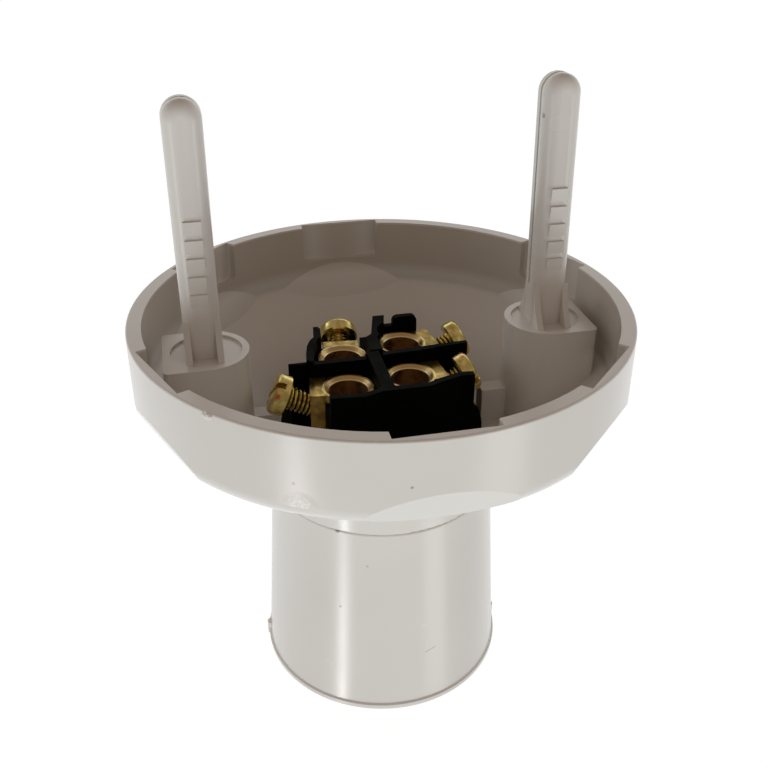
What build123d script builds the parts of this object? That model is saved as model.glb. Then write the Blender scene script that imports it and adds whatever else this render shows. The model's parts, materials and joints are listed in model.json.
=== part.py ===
from build123d import *
import os
from math import cos, radians, sin, sqrt, tan

# Batten lamp holder, standing on the mouth of its barrel, with the ceiling side up.
# X runs through the two fixing bosses, +Z points to the ceiling, and the origin is
# the centre of the barrel's mouth. All sizes are millimetres.

# Base dish
rim_radius = 40.5
base_height = 31.7
wall = 2.4
side_height = 12.5
inner_side_height = 12.2
lower_edge_radius = 3.0
floor_drop = 23.8
floor_radius = 21.0
floor_thickness = 2.5
collar_radius = 19.5
collar_height = 4.2
collar_wall = 2.2
rim_edge_radius = 0.35
corner_softness = 1.2

# Cable knock-outs and the sloping flats below them
knock_out_angles = (22.5, 90.0, 135.0, 202.5, 270.0, 315.0)
knock_out_width = 14.8
knock_out_depth = 7.1
knock_out_wall = 1.4
facet_slope = 64.5
facet_drop = 8.6
facet_run = 8.0

# Fixing bosses
fixing_centres = 57.0
boss_radius = 6.8
boss_flat = 6.9
boss_drop = 5.1
boss_recess_radius = 5.7
boss_recess_depth = 0.4
boss_corner_radius = 0.8
screw_well_radius = 4.2
well_end_wall = 1.4
rib_width = 3.0
rib_drop = 17.6
rib_gap = 0.3

# Break-off plugs that stand on the bosses; the left one sits lower, the right one leans back
plug_root = 0.4
left_plug_shift = -0.35
left_plug_drop = 0.6
right_plug_lean = 2.0
plug_width = 5.85
plug_thickness = 4.8
plug_rise = 35.3
plug_front_radius = 2.1
plug_back_radius = 0.5
plug_groove = 0.5
plug_groove_depth = 1.2
plug_groove_offset = 0.7
plug_groove_foot = 1.0
barb_count = 5
barb_pitch = 2.92
barb_width = 2.7
barb_height = 2.1
barb_proud = 0.45
barb_root = 0.3
barb_start = 6.25
fin_thickness = 1.0
fin_rise = 1.6
fin_reach = 3.0
fin_root = 0.3
fin_bow = 0.6

# Barrel skirt
skirt_length = 37.0
skirt_top_radius = 19.3
skirt_mouth_radius = 21.5
skirt_wall = 2.0
skirt_lip_height = 1.3
skirt_lip_proud = 0.25
skirt_thread_length = 8.8
pip_length = 3.0
pip_radius = 0.75
pip_angles = (174.0, -6.0)
seam_gap = 0.05
spigot_clearance = 0.2
thread_clearance = 0.1

# Black terminal moulding
neck_radius = 14.0
bayonet_bore_radius = 11.2
bayonet_wall = 1.7
bayonet_mouth = 9.0
bayonet_depth = 19.6
socket_depth = 13.0
contact_well_radius = 10.8
slot_width = 2.6
slot_entry = 9.5
slot_turn = 24.0
slot_hook = 1.8
flange_radius = 17.3
flange_thickness = 2.1
block_height = 9.0
block_left = 10.9
block_right = 12.9
block_back = 13.6
block_corner = 3.0
screen_thickness = 1.2
screen_drop = 8.6
middle_screen_drop = 9.3
low_screen_drop = 10.3
spine_thickness = 2.1
rear_plate_corner = 1.0
pocket_gap = 0.1
channel_gap = 0.35
channel_floor_drop = 0.9

# Plan lines of the moulding's screens, each listed along the screen
front_line = ((-10.9, -12.2), (-5.4, -12.8), (-2.6, -11.7), (5.2, -11.7), (7.1, -10.8), (10.8, -9.6),
              (12.9, -9.8))
middle_left_line = ((-15.6, -0.95), (-2.6, -0.95))
middle_right_line = ((-2.6, -0.3), (15.4, 0.95))
left_line = ((-12.7, -0.95), (-12.4, 1.6), (-11.8, 4.6), (-10.9, 6.8), (-10.1, 7.6), (-9.7, 11.4))
spine_front_line = ((-2.5, -12.0), (-2.5, 0.3))
spine_back_line = ((-1.6, 0.8), (-1.6, 5.6), (-0.3, 6.7), (1.4, 13.5))
low_line = ((1.6, 12.2), (5.0, 12.2))
rear_plate = (4.8, 9.2, 12.1)

# Brass terminals
ring_radius = 4.15
terminal_bore_radius = 3.2
ring_drop = 11.15
ring_proud = 0.3
block_reach = 6.2
block_width = 6.1
bore_floor = 1.0
bore_chamfer = 0.6
block_offset = 1.05
screw_tilt = 24.0
thread_cover = 1.2
earth_lift = 0.9

# Clamp screws, M4 cheese head
screw_radius = 1.95
screw_clearance = 0.05
screw_length = 6.0
head_radius = 3.4
head_height = 2.5
head_edge_radius = 0.5
driver_slot_width = 1.0
driver_slot_depth = 1.4

# Spring contacts
contact_spacing = 10.4
plunger_tip_radius = 2.2
plunger_proud = 4.5
plunger_flange_radius = 2.9
plunger_flange_height = 1.5
plunger_stem_radius = 1.1
plunger_stem_length = 4.0
plunger_clearance = 0.1
cover_thickness = 1.6
cover_clearance = 0.1
sleeve_wall = 0.6
sleeve_length = 15.3
sleeve_end = 4.0
rivet_radius = 1.5
strap_thickness = 0.8
strap_width = 5.4
strap_clearance = 0.05
spring_wire_radius = 0.25
spring_radius = 2.2
spring_turns = 4
wire_sides = 5
spring_end_gap = 0.05

# Levels and places that follow from these
seam_z = skirt_length
rim_z = seam_z + base_height
corner_z = rim_z - side_height
inner_corner_z = rim_z - inner_side_height
collar_top_z = seam_z + collar_height
floor_z = rim_z - floor_drop
floor_underside_z = floor_z - floor_thickness
inner_radius = rim_radius - wall
collar_inner_radius = collar_radius - collar_wall
boss_x = fixing_centres / 2
boss_top_z = rim_z - boss_drop
recess_z = boss_top_z - boss_recess_depth
well_top_z = recess_z - well_end_wall
neck_hole_radius = neck_radius + thread_clearance
flange_top_z = floor_z + flange_thickness
screen_top_z = rim_z - screen_drop
ring_top_z = rim_z - ring_drop
terminal_block_top_z = ring_top_z - ring_proud
block_top_z = flange_top_z + block_height
screw_exit_z = terminal_block_top_z - thread_cover - screw_radius / cos(radians(screw_tilt))
screw_axis_z = screw_exit_z - block_reach * tan(radians(screw_tilt))
barrel_outer_radius = bayonet_bore_radius + bayonet_wall
contact_face_z = bayonet_mouth + bayonet_depth
socket_step_z = bayonet_mouth + socket_depth
cover_bottom_z = contact_face_z - cover_thickness
sleeve_bore_radius = plunger_flange_radius + plunger_clearance
sleeve_radius = sleeve_bore_radius + sleeve_wall
sleeve_bottom_z = contact_face_z + cover_clearance
sleeve_top_z = sleeve_bottom_z + sleeve_length
spring_seat_z = sleeve_top_z - sleeve_end
live_bottom_z = flange_top_z
earth_bottom_z = live_bottom_z + earth_lift
strap_bottom_z = live_bottom_z - strap_thickness
flange_face_z = contact_face_z + cover_clearance

# Each terminal: ring centre, way its screw points, reach of the head's underside, bottom level
# and side shift of its clamp block
terminals = {
    "active": ((-6.8, -6.1), 172.5, 10.9, live_bottom_z, -block_offset),
    "neutral": ((3.9, -4.5), 5.0, 10.2, live_bottom_z, block_offset),
    "loop": ((-5.75, 4.4), 84.0, 11.0, earth_bottom_z, 0.0),
    "earth": ((5.2, 7.2), 6.0, 10.6, earth_bottom_z, block_offset),
}
contacts = {"left": (-contact_spacing / 2, "active"), "right": (contact_spacing / 2, "neutral")}


def turned(*points):
    """Solid of revolution about Z from (radius, height) points."""
    return revolve(Plane.XZ * make_face(Polyline(*points, close=True)), Axis.Z)


def softened(points, radii):
    """Flat outline with the corners listed in radii, by index, rounded."""
    face = make_face(Polyline(*points, close=True))
    for index, radius in radii.items():
        corner = face.vertices().sort_by_distance((points[index][0], points[index][1], 0))[0]
        face = fillet(corner, radius)
    return face


def rod(radius, low, high, x=0.0, y=0.0):
    """Upright cylinder between two levels."""
    return Pos(x, y, (low + high) / 2) * Cylinder(radius, high - low)


def block(x_low, x_high, y_low, y_high, z_low, z_high):
    """Box between two corners."""
    centre = Pos((x_low + x_high) / 2, (y_low + y_high) / 2, (z_low + z_high) / 2)
    return centre * Box(x_high - x_low, y_high - y_low, z_high - z_low)


def prism(points, z_low, z_high):
    """Upright prism on a flat outline."""
    return extrude(Plane.XY.offset(z_low) * make_face(Polyline(*points, close=True)), z_high - z_low)


def facet_cutter(inward):
    """Wedge outside one sloping flat, its plane moved inward square to itself."""
    slope = radians(facet_slope)
    top_x = rim_radius - inward / sin(slope)
    top_z = rim_z - facet_drop
    drop = facet_run * tan(slope)
    wedge = make_face(
        Polyline(
            (top_x - facet_run, top_z - drop),
            (top_x + facet_run, top_z - drop),
            (top_x + facet_run, top_z + drop),
            close=True,
        )
    )
    return Plane.XZ * wedge


def facets(inward):
    """The six wedges round the base."""
    wedge = extrude(facet_cutter(inward), floor_radius, both=True)
    return [Rot(0, 0, angle) * wedge for angle in knock_out_angles]


def plug_outline(inset, foot_z):
    """Face of a plug, a strip with a round tip, drawn in the XZ plane."""
    radius = plug_width / 2 - inset
    centre_z = rim_z + plug_rise - plug_width / 2
    strip = make_face(
        Polyline((-radius, foot_z), (radius, foot_z), (radius, centre_z), (-radius, centre_z), close=True)
    )
    return Plane.XZ * (strip + Pos(0, centre_z) * Circle(radius))


def break_off_plug():
    """One plug with its grooved sides, barbs and foot fins, on the Z axis."""
    half = plug_thickness / 2
    foot_z = recess_z - plug_root
    body = extrude(plug_outline(0, foot_z), half, both=True)
    back = body.faces().sort_by(Axis.Y)[-1]
    back_sides = [edge for edge in back.edges() if edge.center().Z > recess_z]
    body = fillet(back_sides, plug_back_radius)
    front = body.faces().sort_by(Axis.Y)[0]
    sides = [edge for edge in front.edges() if edge.center().Z > recess_z]
    body = fillet(sides, plug_front_radius)
    groove_foot = rim_z + plug_groove_foot
    band = extrude(plug_outline(-1.0, groove_foot), plug_groove / 2, both=True)
    core = extrude(plug_outline(plug_groove_depth, groove_foot - 1.0), plug_groove, both=True)
    body -= Pos(0, plug_groove_offset, 0) * (band - core)
    for index in range(barb_count):
        top = rim_z + barb_start + index * barb_pitch
        tooth = make_face(
            Polyline((-half + barb_root, top), (-half - barb_proud, top), (-half, top - barb_height),
                     (-half + barb_root, top - barb_height), close=True)
        )
        body += extrude(Plane.YZ * tooth, barb_width / 2, both=True)
    fin_x = plug_width / 2 - fin_thickness / 2
    fin_top = rim_z + fin_rise
    for side in (-1, 1):
        flare = ThreePointArc(
            (side * (half - fin_root), fin_top),
            (side * (half + fin_reach / 4), (fin_top + foot_z) / 2 - fin_bow),
            (side * (half + fin_reach), foot_z),
        )
        foot_line = Polyline(
            (side * (half + fin_reach), foot_z), (side * (half - fin_root), foot_z),
            (side * (half - fin_root), fin_top)
        )
        fin = extrude(Plane.YZ * make_face(Curve() + flare + foot_line), fin_thickness / 2, both=True)
        body += Pos(-fin_x, 0, 0) * fin
        body += Pos(fin_x, 0, 0) * fin
    return body


def boss_prism(low, high):
    """Boss at +X: round towards the middle, flat outside."""
    flat_x = boss_x + boss_flat
    square = softened(
        [(boss_x, -boss_radius), (flat_x, -boss_radius), (flat_x, boss_radius), (boss_x, boss_radius)],
        {1: boss_corner_radius, 2: boss_corner_radius},
    )
    outline = square + Pos(boss_x, 0) * Circle(boss_radius)
    return extrude(Plane.XY.offset(low) * outline, high - low)


def base_dish():
    """Base moulded in one piece with its bosses, ribs and break-off plugs."""
    outside = revolve(
        Plane.XZ
        * softened(
            [(0, seam_z), (collar_radius, seam_z), (collar_radius, collar_top_z), (rim_radius, corner_z),
             (rim_radius, rim_z), (0, rim_z)],
            {1: 0.3, 2: corner_softness, 3: lower_edge_radius, 4: rim_edge_radius},
        ),
        Axis.Z,
    )
    inside = revolve(
        Plane.XZ
        * softened(
            [(0, floor_z), (floor_radius, floor_z), (inner_radius, inner_corner_z), (inner_radius, rim_z + 2),
             (0, rim_z + 2)],
            {2: corner_softness},
        ),
        Axis.Z,
    )
    for wedge in facets(0):
        outside -= wedge
    for wedge in facets(wall):
        inside -= wedge
    recess_face = rim_radius - knock_out_wall
    recess = block(recess_face - 2 * wall, recess_face, -knock_out_width / 2, knock_out_width / 2,
                   rim_z - knock_out_depth, rim_z + 2)
    recess = fillet(recess.edges().filter_by(Axis.X).group_by(Axis.Z)[0], corner_softness)
    shell = outside - inside
    for angle in knock_out_angles:
        shell -= Rot(0, 0, angle) * recess
    boss = boss_prism(seam_z, boss_top_z)
    rib = block(flange_radius + rib_gap, boss_x, -rib_width / 2, rib_width / 2, floor_z - 1, rim_z - rib_drop)
    boss_form = outside & (boss + rib)
    boss_form -= rod(boss_recess_radius, recess_z, boss_top_z + 1, boss_x)
    for turn in (0, 180):
        shell += Rot(0, 0, turn) * boss_form
    shell -= rod(collar_inner_radius, seam_z - 1, floor_underside_z)
    shell -= rod(neck_hole_radius, seam_z, floor_z + 1)
    plug = break_off_plug()
    shell += Pos(left_plug_shift - boss_x, 0, -left_plug_drop) * plug
    shell += Pos(boss_x, 0, recess_z) * Rot(-right_plug_lean, 0, 0) * Pos(0, 0, -recess_z) * plug
    for side in (-1, 1):
        shell -= rod(screw_well_radius, seam_z, well_top_z, side * boss_x)
    return shell


def barrel_skirt():
    """Tapered skirt that screws onto the moulding's neck and clamps the base."""
    shoulder_z = seam_z - seam_gap
    spigot_radius = collar_inner_radius - spigot_clearance
    spigot_top_z = floor_underside_z - seam_gap
    thread_bottom_z = spigot_top_z - skirt_thread_length
    inner_top_radius = skirt_top_radius - skirt_wall
    inner_mouth_radius = skirt_mouth_radius - skirt_wall
    lip_radius = skirt_mouth_radius + skirt_lip_proud
    thread_radius = neck_radius + thread_clearance
    taper = (skirt_mouth_radius - skirt_top_radius) / skirt_length
    lip_top_radius = skirt_mouth_radius - taper * skirt_lip_height
    body = revolve(
        Plane.XZ
        * softened(
            [(inner_mouth_radius, 0), (lip_radius, 0), (lip_radius, skirt_lip_height - skirt_lip_proud),
             (lip_top_radius, skirt_lip_height), (skirt_top_radius, shoulder_z), (spigot_radius, shoulder_z),
             (spigot_radius, spigot_top_z), (thread_radius, spigot_top_z), (thread_radius, thread_bottom_z),
             (inner_top_radius - skirt_wall / 2, thread_bottom_z - skirt_wall)],
            {0: 0.4, 1: 0.4, 4: 0.5},
        ),
        Axis.Z,
    )
    for angle in pip_angles:
        pip = rod(pip_radius, 0, pip_length)
        pip = chamfer(pip.edges().sort_by(Axis.Z)[-1], pip_radius / 2)
        body += Rot(0, 0, angle) * Pos(skirt_mouth_radius - pip_radius / 4, 0, 0) * pip
    return body


def bayonet_slots():
    """Two J-shaped slots for the lamp's pins, cut from the barrel's mouth."""
    radial = 4 * bayonet_wall
    middle = bayonet_bore_radius + bayonet_wall / 2
    turn_top = bayonet_mouth + slot_entry
    entry = block(middle - radial / 2, middle + radial / 2, -slot_width / 2, slot_width / 2,
                  bayonet_mouth - 1, turn_top)
    ring = rod(barrel_outer_radius + 1, turn_top - slot_width, turn_top)
    ring -= rod(bayonet_bore_radius - 1, turn_top - slot_width - 1, turn_top + 1)
    reach = 2 * barrel_outer_radius
    sector = prism(
        [(0, 0), (reach, 0), (reach * cos(radians(slot_turn)), reach * sin(radians(slot_turn)))],
        turn_top - slot_width,
        turn_top,
    )
    hook = Rot(0, 0, slot_turn) * block(middle - radial / 2, middle + radial / 2, -slot_width / 2,
                                        slot_width / 2, turn_top - slot_width - slot_hook, turn_top)
    slot = entry + (ring & sector) + hook
    return [Rot(0, 0, angle) * slot for angle in (90, 270)]


def terminal_form(name, grown, top_z):
    """Ring tube and clamp block of a terminal, grown by a gap, at its place."""
    (x, y), azimuth, reach, bottom_z, shift = terminals[name]
    tube = rod(ring_radius + grown, bottom_z, max(top_z, ring_top_z))
    half = block_width / 2 + grown
    clamp = block(0, block_reach + grown, shift - half, shift + half, bottom_z, top_z)
    return Pos(x, y, 0) * Rot(0, 0, azimuth) * (tube + clamp)


def screw_place(name):
    """Where a terminal's screw axis starts, and the way it points."""
    (x, y), azimuth, reach, bottom_z, shift = terminals[name]
    return Pos(x, y, 0) * Rot(0, 0, azimuth) * Pos(0, shift, screw_axis_z) * Rot(0, 90 - screw_tilt, 0)


def terminal(name):
    """Brass tunnel terminal with its tilted screw hole."""
    (x, y), azimuth, reach, bottom_z, shift = terminals[name]
    body = terminal_form(name, 0, terminal_block_top_z)
    body -= rod(terminal_bore_radius, bottom_z + bore_floor, ring_top_z + 1, x, y)
    mouth = turned((0, ring_top_z - bore_chamfer), (terminal_bore_radius, ring_top_z - bore_chamfer),
                   (terminal_bore_radius + bore_chamfer, ring_top_z), (0, ring_top_z))
    body -= Pos(x, y, 0) * mouth
    hole = rod(screw_radius + screw_clearance, 0, 2 * block_reach)
    return body - screw_place(name) * hole


def clamp_screw(name):
    """Slotted cheese-head screw, drawn along its own axis and put in its terminal."""
    head_low = terminals[name][2]
    head = rod(head_radius, head_low, head_low + head_height)
    head = fillet(head.edges().sort_by(Axis.Z)[-1], head_edge_radius)
    slot_top = head_low + head_height
    head -= block(-driver_slot_width / 2, driver_slot_width / 2, -2 * head_radius, 2 * head_radius,
                  slot_top - driver_slot_depth, slot_top)
    shank = rod(screw_radius, head_low - screw_length, head_low)
    shank = chamfer(shank.edges().sort_by(Axis.Z)[0], screw_radius / 4)
    return screw_place(name) * (head + shank)


def screw_channel(name):
    """Room for a screw's head, from the end of its clamp block outwards."""
    (x, y), azimuth, reach, bottom_z, shift = terminals[name]
    half = head_radius + channel_gap
    room = block(block_reach - pocket_gap, 4 * block_reach, shift - half, shift + half,
                 screw_axis_z - channel_floor_drop, rim_z)
    return Pos(x, y, 0) * Rot(0, 0, azimuth) * room


def strap_form(side, grown, low, high):
    """Flat link from a contact's rivet to the foot of its terminal."""
    x, name = contacts[side]
    (foot_x, foot_y) = terminals[name][0]
    half = strap_width / 2 + grown
    length = sqrt((foot_x - x) ** 2 + foot_y ** 2)
    turn = Vector(foot_x - x, foot_y, 0)
    middle = Pos((foot_x + x) / 2, foot_y / 2, (low + high) / 2)
    angle = Vector(1, 0, 0).get_signed_angle(turn)
    bar = middle * Rot(0, 0, angle) * Box(length, 2 * half, high - low)
    return bar + rod(half, low, high, x, 0) + rod(half, low, high, foot_x, foot_y)


def contact_strap(side):
    """Brass strap with its rivet hole."""
    x = contacts[side][0]
    link = strap_form(side, 0, strap_bottom_z, live_bottom_z)
    return link - rod(rivet_radius + strap_clearance, strap_bottom_z - 1, live_bottom_z + 1, x, 0)


def contact_sleeve(side):
    """Brass sleeve closed at the top, with the rivet that holds its strap."""
    x = contacts[side][0]
    body = rod(sleeve_radius, sleeve_bottom_z, sleeve_top_z) + rod(rivet_radius, sleeve_top_z, live_bottom_z)
    body -= rod(sleeve_bore_radius, sleeve_bottom_z - 1, spring_seat_z)
    return Pos(x, 0, 0) * body


def contact_plunger(side):
    """Brass plunger: domed tip, stop flange and the stem inside its spring."""
    tip_z = cover_bottom_z - plunger_proud
    tip = rod(plunger_tip_radius, tip_z, flange_face_z)
    tip = fillet(tip.edges().sort_by(Axis.Z)[0], plunger_tip_radius / 2)
    flange_top = flange_face_z + plunger_flange_height
    stem = rod(plunger_stem_radius, flange_top, flange_top + plunger_stem_length)
    return Pos(contacts[side][0], 0, 0) * (tip + rod(plunger_flange_radius, flange_face_z, flange_top) + stem)


def contact_spring(side):
    """Coil spring between the plunger's flange and the sleeve's closed end."""
    end_room = spring_wire_radius + spring_end_gap
    low = flange_face_z + plunger_flange_height + end_room
    height = spring_seat_z - end_room - low
    coil = Helix(height / spring_turns, height, spring_radius)
    section = Plane(origin=coil @ 0, z_dir=coil % 0) * RegularPolygon(spring_wire_radius, wire_sides)
    return Pos(contacts[side][0], 0, low) * sweep(section, path=coil, is_frenet=True)


def contact_cover():
    """Insulating disc that closes the sleeves and lets the plungers through."""
    disc = rod(contact_well_radius - cover_clearance, cover_bottom_z, contact_face_z)
    for x, name in contacts.values():
        disc -= rod(plunger_tip_radius + plunger_clearance, cover_bottom_z - 1, contact_face_z + 1, x, 0)
    return disc


def screen(line, shift_x, shift_y, drop):
    """Upright wall between a line and the same line moved sideways."""
    moved = [(x + shift_x, y + shift_y) for x, y in reversed(line)]
    return prism([*line, *moved], flange_top_z, rim_z - drop)


def screens():
    """Thin walls that stand between the terminals and round their screws."""
    walls = screen(front_line, 0, -screen_thickness, screen_drop)
    walls += screen(middle_left_line, 0, screen_thickness, middle_screen_drop)
    walls += screen(middle_right_line, 0, screen_thickness, middle_screen_drop)
    walls += screen(left_line, screen_thickness, 0, screen_drop)
    walls += screen(spine_front_line, spine_thickness, 0, screen_drop)
    walls += screen(spine_back_line, spine_thickness, 0, screen_drop)
    walls += screen(low_line, 0, screen_thickness, low_screen_drop)
    left, right, front = rear_plate
    plate = softened([(left, flange_top_z), (right, flange_top_z), (right, screen_top_z), (left, screen_top_z)],
                     {2: rear_plate_corner, 3: rear_plate_corner})
    return walls + extrude(Plane.XZ.offset(-front) * plate, -screen_thickness)


def terminal_moulding():
    """Black moulding: terminal block on top, neck through the base, bayonet barrel below."""
    thread_end_z = floor_underside_z - seam_gap - skirt_thread_length
    body = revolve(
        Plane.XZ
        * softened(
            [(0, contact_face_z), (contact_well_radius, contact_face_z), (contact_well_radius, socket_step_z),
             (bayonet_bore_radius, socket_step_z), (bayonet_bore_radius, bayonet_mouth),
             (barrel_outer_radius, bayonet_mouth), (barrel_outer_radius, thread_end_z),
             (neck_radius, thread_end_z), (neck_radius, floor_z), (flange_radius, floor_z),
             (flange_radius, flange_top_z), (0, flange_top_z)],
            {4: 0.4, 5: 0.4},
        ),
        Axis.Z,
    )
    front_edge = [(x, y - screen_thickness) for x, y in front_line]
    back_edge = [(block_right, block_back - block_corner), (block_right - block_corner, block_back),
                 (block_corner - block_left, block_back), (-block_left, block_back - block_corner)]
    core = prism(front_edge + back_edge, flange_top_z, block_top_z)
    body += core + screens()
    for name in terminals:
        body -= screw_channel(name)
        body -= terminal_form(name, pocket_gap, rim_z)
    for slot in bayonet_slots():
        body -= slot
    for side, (x, name) in contacts.items():
        body -= rod(sleeve_radius + strap_clearance, contact_face_z - 1, sleeve_top_z, x, 0)
        body -= rod(rivet_radius + strap_clearance, contact_face_z, flange_top_z, x, 0)
        body -= strap_form(side, strap_clearance, strap_bottom_z, live_bottom_z)
    return body


def all_nodes():
    """Every piece by its name."""
    nodes = {
        "base_dish": base_dish(),
        "barrel_skirt": barrel_skirt(),
        "terminal_moulding": terminal_moulding(),
        "contact_cover": contact_cover(),
    }
    for name in terminals:
        nodes[name + "_terminal"] = terminal(name)
        nodes[name + "_screw"] = clamp_screw(name)
    for side, (x, name) in contacts.items():
        nodes[side + "_plunger"] = contact_plunger(side)
        nodes[side + "_spring"] = contact_spring(side)
        nodes[side + "_sleeve"] = contact_sleeve(side)
        nodes[name + "_strap"] = contact_strap(side)
    return nodes


os.makedirs("parts", exist_ok=True)
for node, shape in all_nodes().items():
    export_step(shape, "parts/" + node + ".step")
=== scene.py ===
import json
import math

import bmesh
import bpy
from mathutils import Matrix, Vector, noise


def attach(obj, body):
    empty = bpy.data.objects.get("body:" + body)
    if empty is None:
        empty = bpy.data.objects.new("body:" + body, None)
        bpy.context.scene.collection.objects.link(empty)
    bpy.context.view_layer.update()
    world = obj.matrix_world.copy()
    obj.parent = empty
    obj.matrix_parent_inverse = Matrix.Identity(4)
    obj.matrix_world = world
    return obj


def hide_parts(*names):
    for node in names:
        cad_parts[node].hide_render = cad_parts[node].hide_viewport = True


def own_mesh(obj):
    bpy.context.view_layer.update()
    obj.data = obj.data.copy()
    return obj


# Looks of the batten lamp holder. Sizes are metres in the part's own frame, except where a comment
# says mm. The origin is the centre of the barrel's mouth and +Z points to the ceiling side.
MM = 0.001

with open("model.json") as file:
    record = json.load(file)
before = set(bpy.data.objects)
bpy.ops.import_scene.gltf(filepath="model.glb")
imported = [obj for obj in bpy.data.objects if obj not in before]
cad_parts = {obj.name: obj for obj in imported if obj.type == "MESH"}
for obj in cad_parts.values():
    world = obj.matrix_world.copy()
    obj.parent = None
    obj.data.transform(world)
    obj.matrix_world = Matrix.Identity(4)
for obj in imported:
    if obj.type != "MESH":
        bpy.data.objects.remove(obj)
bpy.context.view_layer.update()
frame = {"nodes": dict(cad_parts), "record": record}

# Levels and radii of the terminals, which the brass and the screws follow
block_top_z = 57.25 * MM
bore_radius = 3.2 * MM
ring_radius = 4.15 * MM

# Plan centres of the terminals, in mm
terminal_centres = {
    "active": (-6.8, -6.1),
    "neutral": (3.9, -4.5),
    "loop": (-5.75, 4.4),
    "earth": (5.2, 7.2),
}

# Clamp screws: M4 cheese head, on axes tilted up and outward from their terminals
screw_tilt = math.radians(24.0)
thread_cover = 1.2 * MM
block_reach = 6.2 * MM
crest_radius = 1.95 * MM
root_radius = 1.55 * MM
thread_pitch = 0.7 * MM
screw_length = 6.0 * MM
point_radius = 1.15 * MM
head_radius = 3.4 * MM
head_height = 2.5 * MM
head_edge_radius = 0.8 * MM
head_bevel = 0.25 * MM
crown_radius = 1.7 * MM
crown_rise = 0.04 * MM
slot_width = 1.0 * MM
slot_depth = 1.4 * MM
screw_axis_z = block_top_z - thread_cover - crest_radius / math.cos(screw_tilt)
screw_axis_z -= block_reach * math.tan(screw_tilt)

# Thread form: flanks drawn steeper and lower by these, then cut flat at the crest and the root
flank_gain = 1.25
root_flat = 0.05

# Fineness of a screw: points round a ring, rows to a turn of the thread, steps of the head's edge
ring_points = 48
rows_per_turn = 12
edge_steps = 6
smooth_limit = math.radians(35.0)

# Each screw: way it points in degrees, reach of its head's underside and shift to its side in mm,
# and turn of its slot in degrees
block_shift = 1.05
screws = {
    "active": (172.5, 10.9, -block_shift, 55.0),
    "neutral": (5.0, 10.2, block_shift, 0.0),
    "loop": (84.0, 11.0, 0.0, 15.0),
    "earth": (6.0, 10.6, block_shift, 40.0),
}

# Burr on the rim's outer edge: angle, then radius, level and half sizes along, across and up, in mm
burr_angle = math.radians(223.0)
burr_radius = 40.25
burr_level = 68.1
burr_sizes = (1.2, 0.5, 0.6)

# Unevenness of the burr, as a share of its size and as features to a half size, and mesh fineness
burr_roughness = 0.35
burr_grain = 2.5
burr_fineness = 4

# Specks on the white plastic: place and radius of each, in mm
dark_specks = (
    ((-4.9, -40.2, 61.6), 0.1),
    ((-10.8, -17.0, 21.6), 0.12),
    ((-10.8, -15.9, 36.8), 0.3),
    ((25.6, 0.5, 97.8), 0.3),
)
red_specks = (
    ((-6.5, -18.6, 30.7), 0.1),
    ((-32.4, 4.1, 63.3), 0.1),
    ((-19.6, -35.4, 61.2), 0.15),
)

# Scratch on the barrel, as a row of dots, and scuff on the base, in mm
scratch_ends = ((3.4, -20.5, 11.5), (5.0, -20.2, 12.0))
scratch_dots = 5
scratch_radius = 0.02
scuff_place = (-18.9, -35.8, 57.3)
scuff_radius = 1.4

# Painted shade, a faint brown on the inside of the wall: where it starts, is full, fades and ends, in mm
inner_shade_radii = (32.0, 37.0, 39.0, 39.4)
inner_shade_levels = (58.5, 60.5, 68.2, 68.5)

# Red stain on the head of the active screw, in mm
stain_place = (-18.3, -6.9, 57.6)
stain_radius = 0.35

# Tints of the terminals: offsets in mm from the ring's or the bore's radius, from none to full
chamfer_offsets = (-0.3, -0.42)
# Painted highlights on the rings' outer edges and round the bores' mouths
outer_highlight_offsets = (-0.14, -0.04)
inner_highlight_offsets = (0.16, 0.08)
ring_limit_offsets = (0.1, 0.02)
bore_offsets = (0.06, 0.01)

# Share of each mark's own colour that shows, and of the painted shade inside the wall
inner_shade_strength = 0.4
dark_speck_strength = 0.6
red_speck_strength = 0.4
scattered_stain_strength = 0.7

# Colours of the materials, as linear red, green and blue
cloud_dark = (0.715, 0.69, 0.655)
cloud_light = (0.745, 0.722, 0.69)
# Painted shade on the inside of the wall
inner_shade_brown = (0.36, 0.28, 0.21)
speck_black = (0.10, 0.09, 0.08)
speck_red = (0.42, 0.12, 0.08)
moulding_black = (0.0022, 0.0026, 0.0024)
dust_black = (0.006, 0.006, 0.006)
brass_clean = (0.60, 0.43, 0.13)
brass_tarnished = (0.32, 0.22, 0.06)
brass_chamfer = (0.60, 0.42, 0.19)
# Painted highlight on the ring edges
brass_painted_highlight = (0.95, 0.80, 0.42)
bore_dark = (0.62, 0.45, 0.26)
bore_light = (0.88, 0.70, 0.46)
screw_bright = (1.0, 0.86, 0.34)
screw_dull = (0.60, 0.47, 0.15)
stain_red = (0.62, 0.14, 0.05)
# Painted shade in the thread roots
thread_root_shade = (0.06, 0.03, 0.01)
steel_light = (0.56, 0.56, 0.57)
steel_dark = (0.46, 0.46, 0.47)

# Roughness of the materials, lowest and highest, and other settings of the plastics
white_roughness = (0.2, 0.29)
black_roughness = (0.38, 0.55)
brass_roughness = (0.24, 0.4)
screw_roughness = (0.18, 0.34)
steel_roughness = 0.3
white_ior = 1.49
black_specular = 0.02

# Camera, solved from the photograph, with its lens and sensor in mm
camera_place = (-30.5 * MM, -136.4 * MM, 134.1 * MM)
camera_heading = math.radians(-12.6)
camera_pitch = math.radians(28.364)
camera_lens = 44.49
camera_near = 0.01
sensor_width = 36.0
camera_shift = (0.0037, -0.0326)

# Floor, just below the lowest place of the skirt: it glows, and a small matte share takes the shadow
skirt_travel = 9.0 * MM
floor_gap = 0.2 * MM
floor_z = -skirt_travel - floor_gap
floor_half = 2.0
floor_glow = 1.1
floor_matte_share = 0.12
floor_white = (0.95, 0.95, 0.95)

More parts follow.
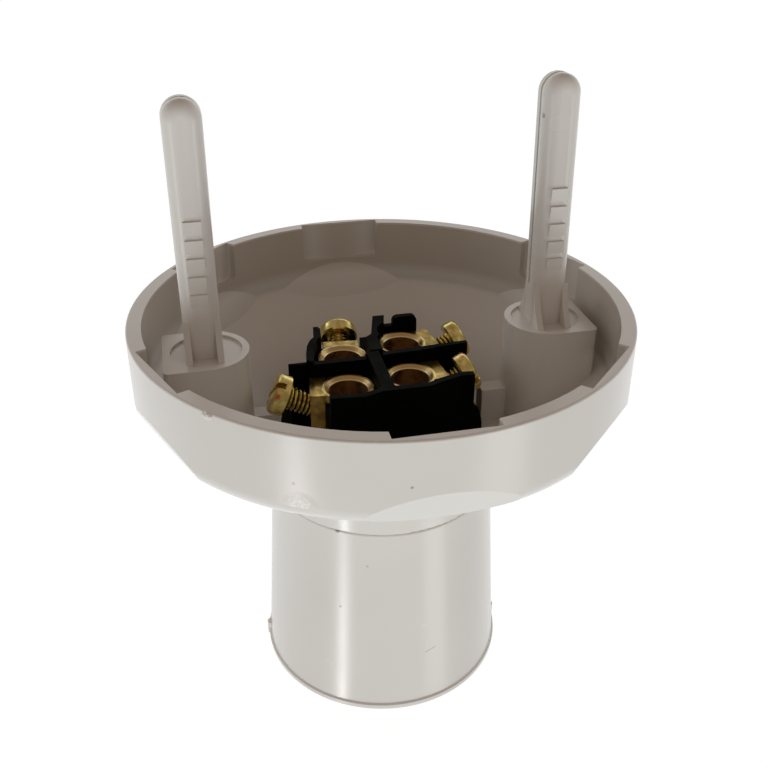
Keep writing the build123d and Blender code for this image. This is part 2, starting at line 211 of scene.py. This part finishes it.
# World: light colours by direction, and edges between them as parts of the unit direction
below_front_light = (0.77, 0.805, 0.81)
below_back_light = (0.54, 0.565, 0.57)
band_light = (1.02, 1.05, 1.03)
front_light = (0.35, 0.285, 0.24)
overhead_light = (0.27, 0.213, 0.174)
seen_white = (1.0, 1.0, 1.0)
horizon_edge = (-0.05, 0.05)
band_top_edge = (0.42, 0.68)
band_front_edge = (-0.4, 0.5)

# Softboxes: name, azimuth and elevation in degrees, width and height, and radiance, where 1 is white
softboxes = (
    ("left_softbox", -50.0, -24.0, (0.15, 0.7), 4.0),
    ("left_core_softbox", -50.5, -40.0, (0.05, 0.16), 26.0),
    ("right_softbox", 41.0, -24.0, (0.34, 0.7), 2.1),
    ("front_fill_softbox", -5.0, -40.0, (0.9, 0.6), 0.3),
)
softbox_distance = 1.0
barrel_middle = (0.0, 0.0, 20.0 * MM)


class NodeTree:
    """Nodes of a material or of the world, added and linked by short calls."""

    def __init__(self, owner):
        owner.use_nodes = True
        self.tree = owner.node_tree

    def add(self, kind, **settings):
        """New node with its settings."""
        node = self.tree.nodes.new(kind)
        for key, value in settings.items():
            setattr(node, key, value)
        return node

    def link(self, source, target):
        """Joins an output to an input."""
        self.tree.links.new(source, target)

    def combine(self, operation, first, second):
        """Number made from two number outputs, such as their MULTIPLY or MAXIMUM."""
        node = self.add("ShaderNodeMath", operation=operation)
        self.link(first, node.inputs[0])
        self.link(second, node.inputs[1])
        return node.outputs["Value"]

    def ramp(self, source, low, high, low_value=0.0, high_value=1.0, curve="LINEAR"):
        """Runs from low_value at low to high_value at high; low may be above high."""
        node = self.add("ShaderNodeMapRange", interpolation_type=curve)
        node.inputs["From Min"].default_value = low
        node.inputs["From Max"].default_value = high
        node.inputs["To Min"].default_value = low_value
        node.inputs["To Max"].default_value = high_value
        self.link(source, node.inputs["Value"])
        return node.outputs["Result"]

    def step(self, source, low, high):
        """0 at low and 1 at high, smooth between; low may be above high."""
        return self.ramp(source, low, high, curve="SMOOTHSTEP")

    def mix(self, factor, first, second):
        """Colour between two colours or colour outputs, by a factor output."""
        node = self.add("ShaderNodeMix", data_type="RGBA")
        self.link(factor, node.inputs["Factor"])
        for value, socket in ((first, node.inputs["A"]), (second, node.inputs["B"])):
            if isinstance(value, tuple):
                socket.default_value = (*value, 1.0)
            else:
                self.link(value, socket)
        return node.outputs["Result"]

    def blend(self, factor, first, second):
        """Shader between two shader outputs, by a number or a factor output."""
        node = self.add("ShaderNodeMixShader")
        if isinstance(factor, float):
            node.inputs["Fac"].default_value = factor
        else:
            self.link(factor, node.inputs["Fac"])
        self.link(first, node.inputs[1])
        self.link(second, node.inputs[2])
        return node.outputs["Shader"]


class Shader(NodeTree):
    """Material of one slot, built on its principled surface."""

    def __init__(self, name):
        self.material = bpy.data.materials.new(name)
        super().__init__(self.material)
        self.surface = self.tree.nodes["Principled BSDF"]
        self.place = self.add("ShaderNodeTexCoord").outputs["Object"]

    def noise(self, scale, detail, stretch=(1, 1, 1)):
        """Noise over the part, scale in features per metre."""
        mapping = self.add("ShaderNodeMapping")
        mapping.inputs["Scale"].default_value = stretch
        self.link(self.place, mapping.inputs["Vector"])
        node = self.add("ShaderNodeTexNoise")
        node.inputs["Scale"].default_value = scale
        node.inputs["Detail"].default_value = detail
        self.link(mapping.outputs["Vector"], node.inputs["Vector"])
        return node.outputs["Fac"]

    def product(self, first, second):
        """Product of two number outputs."""
        return self.combine("MULTIPLY", first, second)

    def extreme(self, sources, operation="MAXIMUM"):
        """Highest of several number outputs, or the lowest with MINIMUM."""
        result = sources[0]
        for source in sources[1:]:
            result = self.combine(operation, result, source)
        return result

    def scaled(self, source, top):
        """Brings an output that runs from 0 to 1 to one that runs from 0 to top."""
        return self.ramp(source, 0.0, 1.0, 0.0, top)

    def distance(self, centre, source=None):
        """Distance in metres from a place on the part given in mm."""
        node = self.add("ShaderNodeVectorMath", operation="DISTANCE")
        self.link(source or self.place, node.inputs[0])
        node.inputs[1].default_value = [value * MM for value in centre]
        return node.outputs["Value"]

    def from_axis(self, centre):
        """Distance in metres from an upright axis through a plan point given in mm."""
        flat = self.add("ShaderNodeVectorMath", operation="MULTIPLY")
        self.link(self.place, flat.inputs[0])
        flat.inputs[1].default_value = (1, 1, 0)
        return self.distance((*centre, 0), flat.outputs["Vector"])

    def height(self):
        """Level on the part in metres."""
        node = self.add("ShaderNodeSeparateXYZ")
        self.link(self.place, node.inputs["Vector"])
        return node.outputs["Z"]

    def band(self, source, edges):
        """Rises from 0 to 1 between the first two edges and falls between the last two, in mm."""
        rise_start, rise_end, fall_start, fall_end = (edge * MM for edge in edges)
        rise = self.ramp(source, rise_start, rise_end)
        return self.product(rise, self.ramp(source, fall_end, fall_start))

    def edge(self, source, radius, offsets):
        """Rises from 0 at the first offset from a radius to 1 at the second, offsets in mm."""
        low, high = (radius + offset * MM for offset in offsets)
        return self.ramp(source, low, high)

    def spot(self, centre, radius, softness=0.2):
        """1 within radius of a place on the part, 0 beyond radius plus softness, all in mm."""
        return self.ramp(self.distance(centre), (radius + softness) * MM, radius * MM)

    def bump(self, height, strength, distance):
        """Relief from a height output, distance in metres."""
        node = self.add("ShaderNodeBump")
        node.inputs["Strength"].default_value = strength
        node.inputs["Distance"].default_value = distance
        self.link(height, node.inputs["Height"])
        self.link(node.outputs["Normal"], self.surface.inputs["Normal"])

    def colour(self, source):
        """Gives the surface its colour output."""
        self.link(source, self.surface.inputs["Base Color"])

    def roughness(self, source):
        """Gives the surface its roughness output."""
        self.link(source, self.surface.inputs["Roughness"])

    def setting(self, name, value):
        """Sets a value that is the same all over the surface."""
        self.surface.inputs[name].default_value = value


def scratch_marks():
    """Dots in a row from one end of the scratch to the other, each with its radius."""
    start, end = (Vector(place) for place in scratch_ends)
    last = scratch_dots - 1
    return [(start.lerp(end, index / last), scratch_radius) for index in range(scratch_dots)]


def white_plastic():
    """Glossy warm white moulding with faint flow clouds, painted shade inside the wall, specks, a scratch
    and a scuff.
    """
    shader = Shader("white_plastic")
    clouds = shader.noise(scale=45.0, detail=2.0)
    tint = shader.mix(shader.ramp(clouds, low=0.3, high=0.7), cloud_dark, cloud_light)
    # Painted shade: a faint brown on the inside of the wall up to the rim, where the dish lies in shade
    wall = shader.band(shader.from_axis((0, 0)), inner_shade_radii)
    painted_shade = shader.product(wall, shader.band(shader.height(), inner_shade_levels))
    tint = shader.mix(shader.scaled(painted_shade, inner_shade_strength), tint, inner_shade_brown)
    dark = shader.extreme([shader.spot(*mark) for mark in (*dark_specks, *scratch_marks())])
    tint = shader.mix(shader.scaled(dark, dark_speck_strength), tint, speck_black)
    red = shader.extreme([shader.spot(*mark) for mark in red_specks])
    shader.colour(shader.mix(shader.scaled(red, red_speck_strength), tint, speck_red))
    dull = shader.noise(scale=90.0, detail=2.0)
    shader.roughness(shader.ramp(dull, 0.15, 0.85, *white_roughness))
    scuffed = shader.spot(scuff_place, scuff_radius, softness=scuff_radius)
    scuff = shader.product(scuffed, shader.noise(scale=1600.0, detail=4.0))
    grain = shader.scaled(shader.noise(scale=900.0, detail=2.0), top=0.08)
    shader.bump(shader.extreme([grain, scuff]), strength=0.9, distance=0.08 * MM)
    shader.setting("IOR", white_ior)
    return shader.material


def black_plastic():
    """Nearly black moulding, slightly dusty."""
    shader = Shader("black_plastic")
    dust = shader.ramp(shader.noise(scale=700.0, detail=5.0), low=0.62, high=0.8)
    shader.colour(shader.mix(dust, moulding_black, dust_black))
    dull = shader.noise(scale=300.0, detail=3.0)
    shader.roughness(shader.ramp(dull, 0.3, 0.7, *black_roughness))
    shader.bump(shader.noise(scale=1500.0, detail=3.0), strength=0.1, distance=0.03 * MM)
    shader.setting("Specular IOR Level", black_specular)
    return shader.material


def terminal_brass():
    """Machined brass: tarnished faces, painted highlights on the ring edges and coppery bores."""
    shader = Shader("brass")
    tarnish = shader.ramp(shader.noise(scale=600.0, detail=5.0), low=0.35, high=0.65)
    face = shader.mix(tarnish, brass_clean, brass_tarnished)
    from_axes = [shader.from_axis(centre) for centre in terminal_centres.values()]
    from_axis = shader.extreme(from_axes, "MINIMUM")
    face = shader.mix(shader.edge(from_axis, ring_radius, chamfer_offsets), face, brass_chamfer)
    # Painted highlights: near-white brass on each ring's outer edge and round its bore's mouth
    outer_highlight = shader.edge(from_axis, ring_radius, outer_highlight_offsets)
    inner_highlight = shader.edge(from_axis, bore_radius, inner_highlight_offsets)
    near_ring = shader.edge(from_axis, ring_radius, ring_limit_offsets)
    ring_highlight = shader.product(shader.extreme([outer_highlight, inner_highlight]), near_ring)
    face = shader.mix(ring_highlight, face, brass_painted_highlight)
    inside = shader.edge(from_axis, bore_radius, bore_offsets)
    streaks = shader.noise(scale=900.0, detail=3.0, stretch=(1, 1, 0.1))
    bore = shader.mix(streaks, bore_dark, bore_light)
    shader.colour(shader.mix(inside, face, bore))
    shader.setting("Metallic", 1.0)
    shader.roughness(shader.ramp(tarnish, 0.0, 1.0, *brass_roughness))
    drawn_lines = shader.noise(scale=1400.0, detail=3.0, stretch=(1, 1, 0.15))
    shader.bump(drawn_lines, strength=0.35, distance=0.02 * MM)
    return shader.material


def screw_brass():
    """Bright turned brass with dull clouds, red stains and painted shade in the thread roots."""
    shader = Shader("screw_brass")
    cloud = shader.ramp(shader.noise(scale=800.0, detail=4.0), low=0.36, high=0.62)
    tone = shader.mix(cloud, screw_bright, screw_dull)
    scattered = shader.noise(scale=420.0, detail=2.0)
    scattered = shader.ramp(scattered, 0.64, 0.72, 0.0, scattered_stain_strength)
    stain = shader.extreme([scattered, shader.spot(stain_place, stain_radius, softness=stain_radius)])
    tone = shader.mix(stain, tone, stain_red)
    # Painted shade: the thread roots darken to near-black brown by their depth
    groove = shader.add("ShaderNodeAttribute", attribute_name="groove").outputs["Fac"]
    shader.colour(shader.mix(shader.ramp(groove, low=0.35, high=0.9), tone, thread_root_shade))
    shader.setting("Metallic", 1.0)
    shader.roughness(shader.ramp(cloud, 0.0, 1.0, *screw_roughness))
    shader.bump(shader.noise(scale=1500.0, detail=4.0), strength=0.5, distance=0.03 * MM)
    return shader.material


def spring_steel():
    """Drawn steel wire."""
    shader = Shader("spring_steel")
    shade = shader.ramp(shader.noise(scale=900.0, detail=2.0), low=0.3, high=0.7)
    shader.colour(shader.mix(shade, steel_light, steel_dark))
    shader.setting("Metallic", 1.0)
    shader.setting("Roughness", steel_roughness)
    return shader.material


def add_object(name, data):
    """New object in the scene."""
    thing = bpy.data.objects.new(name, data)
    bpy.context.scene.collection.objects.link(thing)
    return thing


def finished_mesh(name, shape):
    """Mesh made from a shape under construction, which ends there."""
    mesh = bpy.data.meshes.new(name)
    shape.to_mesh(mesh)
    shape.free()
    return mesh


def shade_smooth(mesh):
    """Smooth shading on every face."""
    for face in mesh.polygons:
        face.use_smooth = True


def screw_matrix(centre, azimuth, shift):
    """Place of a screw, whose own +Z runs out along the tilted axis; degrees and mm."""
    x, y = centre
    place = Matrix.Translation((x * MM, y * MM, 0)) @ Matrix.Rotation(math.radians(azimuth), 4, "Z")
    place = place @ Matrix.Translation((0, shift * MM, screw_axis_z))
    return place @ Matrix.Rotation(math.pi / 2 - screw_tilt, 4, "Y")


def thread_radius(height, turn, low):
    """Radius of the threaded shank at a height and an angle in turns, low being its point."""
    phase = (height / thread_pitch - turn) % 1.0
    flank = 1 - abs(2 * phase - 1)
    depth = min(1.0, max(0.0, flank_gain * flank - root_flat))
    radius = root_radius + (crest_radius - root_radius) * depth
    return min(radius, point_radius + height - low)


def shank_heights(low, reach):
    """Heights of the shank's rows, from its point to the head."""
    count = round((reach - low) / thread_pitch * rows_per_turn)
    return [low + (reach - low) * index / count for index in range(count + 1)]


def head_outline(reach):
    """Outline of the head from its underside to its top, as radius and height."""
    top = reach + head_height
    outline = [(head_radius - head_bevel, reach), (head_radius, reach + head_bevel)]
    for index in range(edge_steps + 1):
        angle = math.pi / 2 * index / edge_steps
        radius = head_radius - head_edge_radius * (1 - math.cos(angle))
        outline.append((radius, top - head_edge_radius * (1 - math.sin(angle))))
    outline.append((crown_radius, top + crown_rise))
    return outline


def add_ring(shape, radii, height):
    """Ring of points round +Z at one height, with a radius for each point."""
    ring = []
    for index, radius in enumerate(radii):
        angle = 2 * math.pi * index / ring_points
        ring.append(shape.verts.new((radius * math.cos(angle), radius * math.sin(angle), height)))
    return ring


def turned_screw(name, reach):
    """Closed mesh of one screw with its helical thread, before the slot is cut."""
    low = reach - screw_length
    shape = bmesh.new()
    groove = shape.verts.layers.float.new("groove")
    rings = []
    for height in shank_heights(low, reach):
        radii = [thread_radius(height, index / ring_points, low) for index in range(ring_points)]
        ring = add_ring(shape, radii, height)
        for point, radius in zip(ring, radii):
            point[groove] = (crest_radius - radius) / (crest_radius - root_radius)
        rings.append(ring)
    for radius, height in head_outline(reach):
        rings.append(add_ring(shape, [radius] * ring_points, height))
    for lower, upper in zip(rings, rings[1:]):
        for index in range(ring_points):
            after = (index + 1) % ring_points
            shape.faces.new((lower[index], lower[after], upper[after], upper[index]))
    shape.faces.new(list(reversed(rings[0])))
    shape.faces.new(rings[-1])
    return finished_mesh(name + "_screw_thread", shape)


def slot_cutter(name, reach, slot_turn):
    """Box that cuts the driver slot, drawn in the screw's own frame."""
    shape = bmesh.new()
    bmesh.ops.create_cube(shape, size=1.0)
    bmesh.ops.scale(shape, vec=(slot_width, 4 * head_radius, 2 * slot_depth), verts=shape.verts)
    bmesh.ops.translate(shape, vec=(0, 0, reach + head_height), verts=shape.verts)
    bmesh.ops.rotate(shape, matrix=Matrix.Rotation(slot_turn, 3, "Z"), verts=shape.verts)
    return add_object(name + "_slot", finished_mesh(name + "_slot", shape))


def cut_slot(screw, cutter):
    """Mesh of the screw with its slot cut, after which the cutter goes."""
    cut = screw.modifiers.new("slot", "BOOLEAN")
    cut.operation = "DIFFERENCE"
    cut.solver = "EXACT"
    cut.object = cutter
    bpy.context.view_layer.update()
    shaped = bpy.data.meshes.new_from_object(screw.evaluated_get(bpy.context.evaluated_depsgraph_get()))
    screw.modifiers.clear()
    bpy.data.objects.remove(cutter)
    return shaped


def add_screw(name, material):
    """Threaded screw that stands for the plain CAD one."""
    azimuth, reach_mm, shift, slot_turn = screws[name]
    reach = reach_mm * MM
    screw = add_object(name + "_threaded_screw", turned_screw(name, reach))
    mesh = cut_slot(screw, slot_cutter(name, reach, math.radians(slot_turn)))
    mesh.transform(screw_matrix(terminal_centres[name], azimuth, shift))
    shade_smooth(mesh)
    mesh.set_sharp_from_angle(angle=smooth_limit)
    mesh.materials.clear()
    mesh.materials.append(material)
    screw.data = mesh
    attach(screw, name + "_screw")
    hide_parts(name + "_screw")


def add_spring(side, material):
    """Contact spring: a copy of the CAD coil, fixed to the base in its place."""
    coil = frame["nodes"][side + "_spring"]
    mesh = coil.data.copy()
    mesh.transform(coil.matrix_world)
    mesh.materials.clear()
    mesh.materials.append(material)
    spring = add_object(side + "_squeezed_spring", mesh)
    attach(spring, "base")
    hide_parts(side + "_spring")
    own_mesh(spring)


def add_burr(material):
    """Small uneven lump of flash on the rim's outer edge."""
    shape = bmesh.new()
    bmesh.ops.create_icosphere(shape, subdivisions=burr_fineness, radius=1.0)
    for point in shape.verts:
        point.co *= 1 + burr_roughness * noise.noise(point.co * burr_grain)
    bmesh.ops.scale(shape, vec=[size * MM for size in burr_sizes], verts=shape.verts)
    mesh = finished_mesh("rim_burr", shape)
    place = Matrix.Translation((burr_radius * MM, 0, burr_level * MM)) @ Matrix.Rotation(math.pi / 2, 4, "Z")
    mesh.transform(Matrix.Rotation(burr_angle, 4, "Z") @ place)
    shade_smooth(mesh)
    mesh.materials.append(material)
    burr = add_object("rim_burr", mesh)
    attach(burr, "base")


def dress(materials):
    """Gives every CAD node the material of its slot."""
    slots = {entry["node"]: entry["material_slot"] for entry in frame["record"]["subparts"]}
    for name, node in frame["nodes"].items():
        for slot in node.material_slots:
            slot.material = materials[slots[name]]


def add_camera():
    """Camera at the photograph's place, looking down at the open base."""
    data = bpy.data.cameras.new("photo_camera")
    data.lens = camera_lens
    data.sensor_width = sensor_width
    data.shift_x, data.shift_y = camera_shift
    data.clip_start = camera_near
    camera = add_object("photo_camera", data)
    camera.location = camera_place
    camera.rotation_euler = (math.pi / 2 - camera_pitch, 0, camera_heading)
    bpy.context.scene.camera = camera


def floor_material():
    """Glowing white with a matte share for the shadow, and clear from underneath."""
    material = bpy.data.materials.new("floor_white")
    nodes = NodeTree(material)
    nodes.tree.nodes.clear()
    glow = nodes.add("ShaderNodeEmission")
    glow.inputs["Strength"].default_value = floor_glow
    matte = nodes.add("ShaderNodeBsdfDiffuse")
    matte.inputs["Color"].default_value = (*floor_white, 1.0)
    lit = nodes.blend(floor_matte_share, glow.outputs["Emission"], matte.outputs["BSDF"])
    side = nodes.add("ShaderNodeNewGeometry")
    clear = nodes.add("ShaderNodeBsdfTransparent")
    cover = nodes.blend(side.outputs["Backfacing"], lit, clear.outputs["BSDF"])
    output = nodes.add("ShaderNodeOutputMaterial")
    nodes.link(cover, output.inputs["Surface"])
    return material


def add_floor():
    """Square white floor with a faint shadow, which lights nothing and shows in no reflection."""
    mesh = bpy.data.meshes.new("floor")
    signs = ((-1, -1), (1, -1), (1, 1), (-1, 1))
    corners = [(x * floor_half, y * floor_half, floor_z) for x, y in signs]
    mesh.from_pydata(corners, [], [(0, 1, 2, 3)])
    mesh.materials.append(floor_material())
    floor = add_object("floor", mesh)
    floor.visible_diffuse = False
    floor.visible_glossy = False
    floor.visible_shadow = False


def add_world():
    """Soft light: pale from below, a bright band behind and beside, dim overhead and in front.

    The camera sees plain white instead, and so do reflections towards the bright band.
    """
    world = bpy.data.worlds.new("studio")
    bpy.context.scene.world = world
    nodes = NodeTree(world)
    nodes.tree.nodes.clear()
    place = nodes.add("ShaderNodeTexCoord")
    parts = nodes.add("ShaderNodeSeparateXYZ")
    nodes.link(place.outputs["Generated"], parts.inputs["Vector"])
    rise = parts.outputs["Z"]
    away = nodes.step(parts.outputs["Y"], *band_front_edge)
    band = nodes.mix(away, front_light, band_light)
    above = nodes.mix(nodes.step(rise, *band_top_edge), band, overhead_light)
    below = nodes.mix(away, below_front_light, below_back_light)
    light_colour = nodes.mix(nodes.step(rise, *horizon_edge), below, above)
    light = nodes.add("ShaderNodeBackground")
    nodes.link(light_colour, light.inputs["Color"])
    seen = nodes.add("ShaderNodeBackground")
    seen.inputs["Color"].default_value = (*seen_white, 1.0)
    path = nodes.add("ShaderNodeLightPath")
    seen_directly = path.outputs["Is Camera Ray"]
    direct = nodes.combine("MAXIMUM", seen_directly, path.outputs["Is Transmission Ray"])
    behind = nodes.combine("MULTIPLY", away, nodes.step(rise, *reversed(band_top_edge)))
    mirrored = nodes.combine("MULTIPLY", path.outputs["Is Glossy Ray"], behind)
    white_shown = nodes.combine("MAXIMUM", direct, mirrored)
    surface = nodes.blend(white_shown, light.outputs["Background"], seen.outputs["Background"])
    output = nodes.add("ShaderNodeOutputWorld")
    nodes.link(surface, output.inputs["Surface"])


def add_softbox(name, azimuth, elevation, size, radiance):
    """Rectangular lamp aimed at the barrel; azimuth 0 stands at -Y, angles in radians."""
    data = bpy.data.lights.new(name, "AREA")
    data.shape = "RECTANGLE"
    data.size, data.size_y = size
    data.energy = math.pi * size[0] * size[1] * radiance
    flat = math.cos(elevation)
    back = Vector((math.sin(azimuth) * flat, -math.cos(azimuth) * flat, math.sin(elevation)))
    lamp = add_object(name, data)
    lamp.location = Vector(barrel_middle) + back * softbox_distance
    lamp.rotation_euler = back.to_track_quat("Z", "Y").to_euler()


def add_lamps():
    """Tall softboxes low in front, which draw the upright streaks on the barrel."""
    for name, azimuth, elevation, size, radiance in softboxes:
        add_softbox(name, math.radians(azimuth), math.radians(elevation), size, radiance)


materials = {
    "white_plastic": white_plastic(),
    "black_plastic": black_plastic(),
    "brass": terminal_brass(),
    "screw_brass": screw_brass(),
    "spring_steel": spring_steel(),
}
dress(materials)
for screw_name in screws:
    add_screw(screw_name, materials["screw_brass"])
for side_name in ("left", "right"):
    add_spring(side_name, materials["spring_steel"])
add_burr(materials["white_plastic"])
add_camera()
add_floor()
add_world()
add_lamps()
bpy.context.scene.view_settings.view_transform = "Standard"
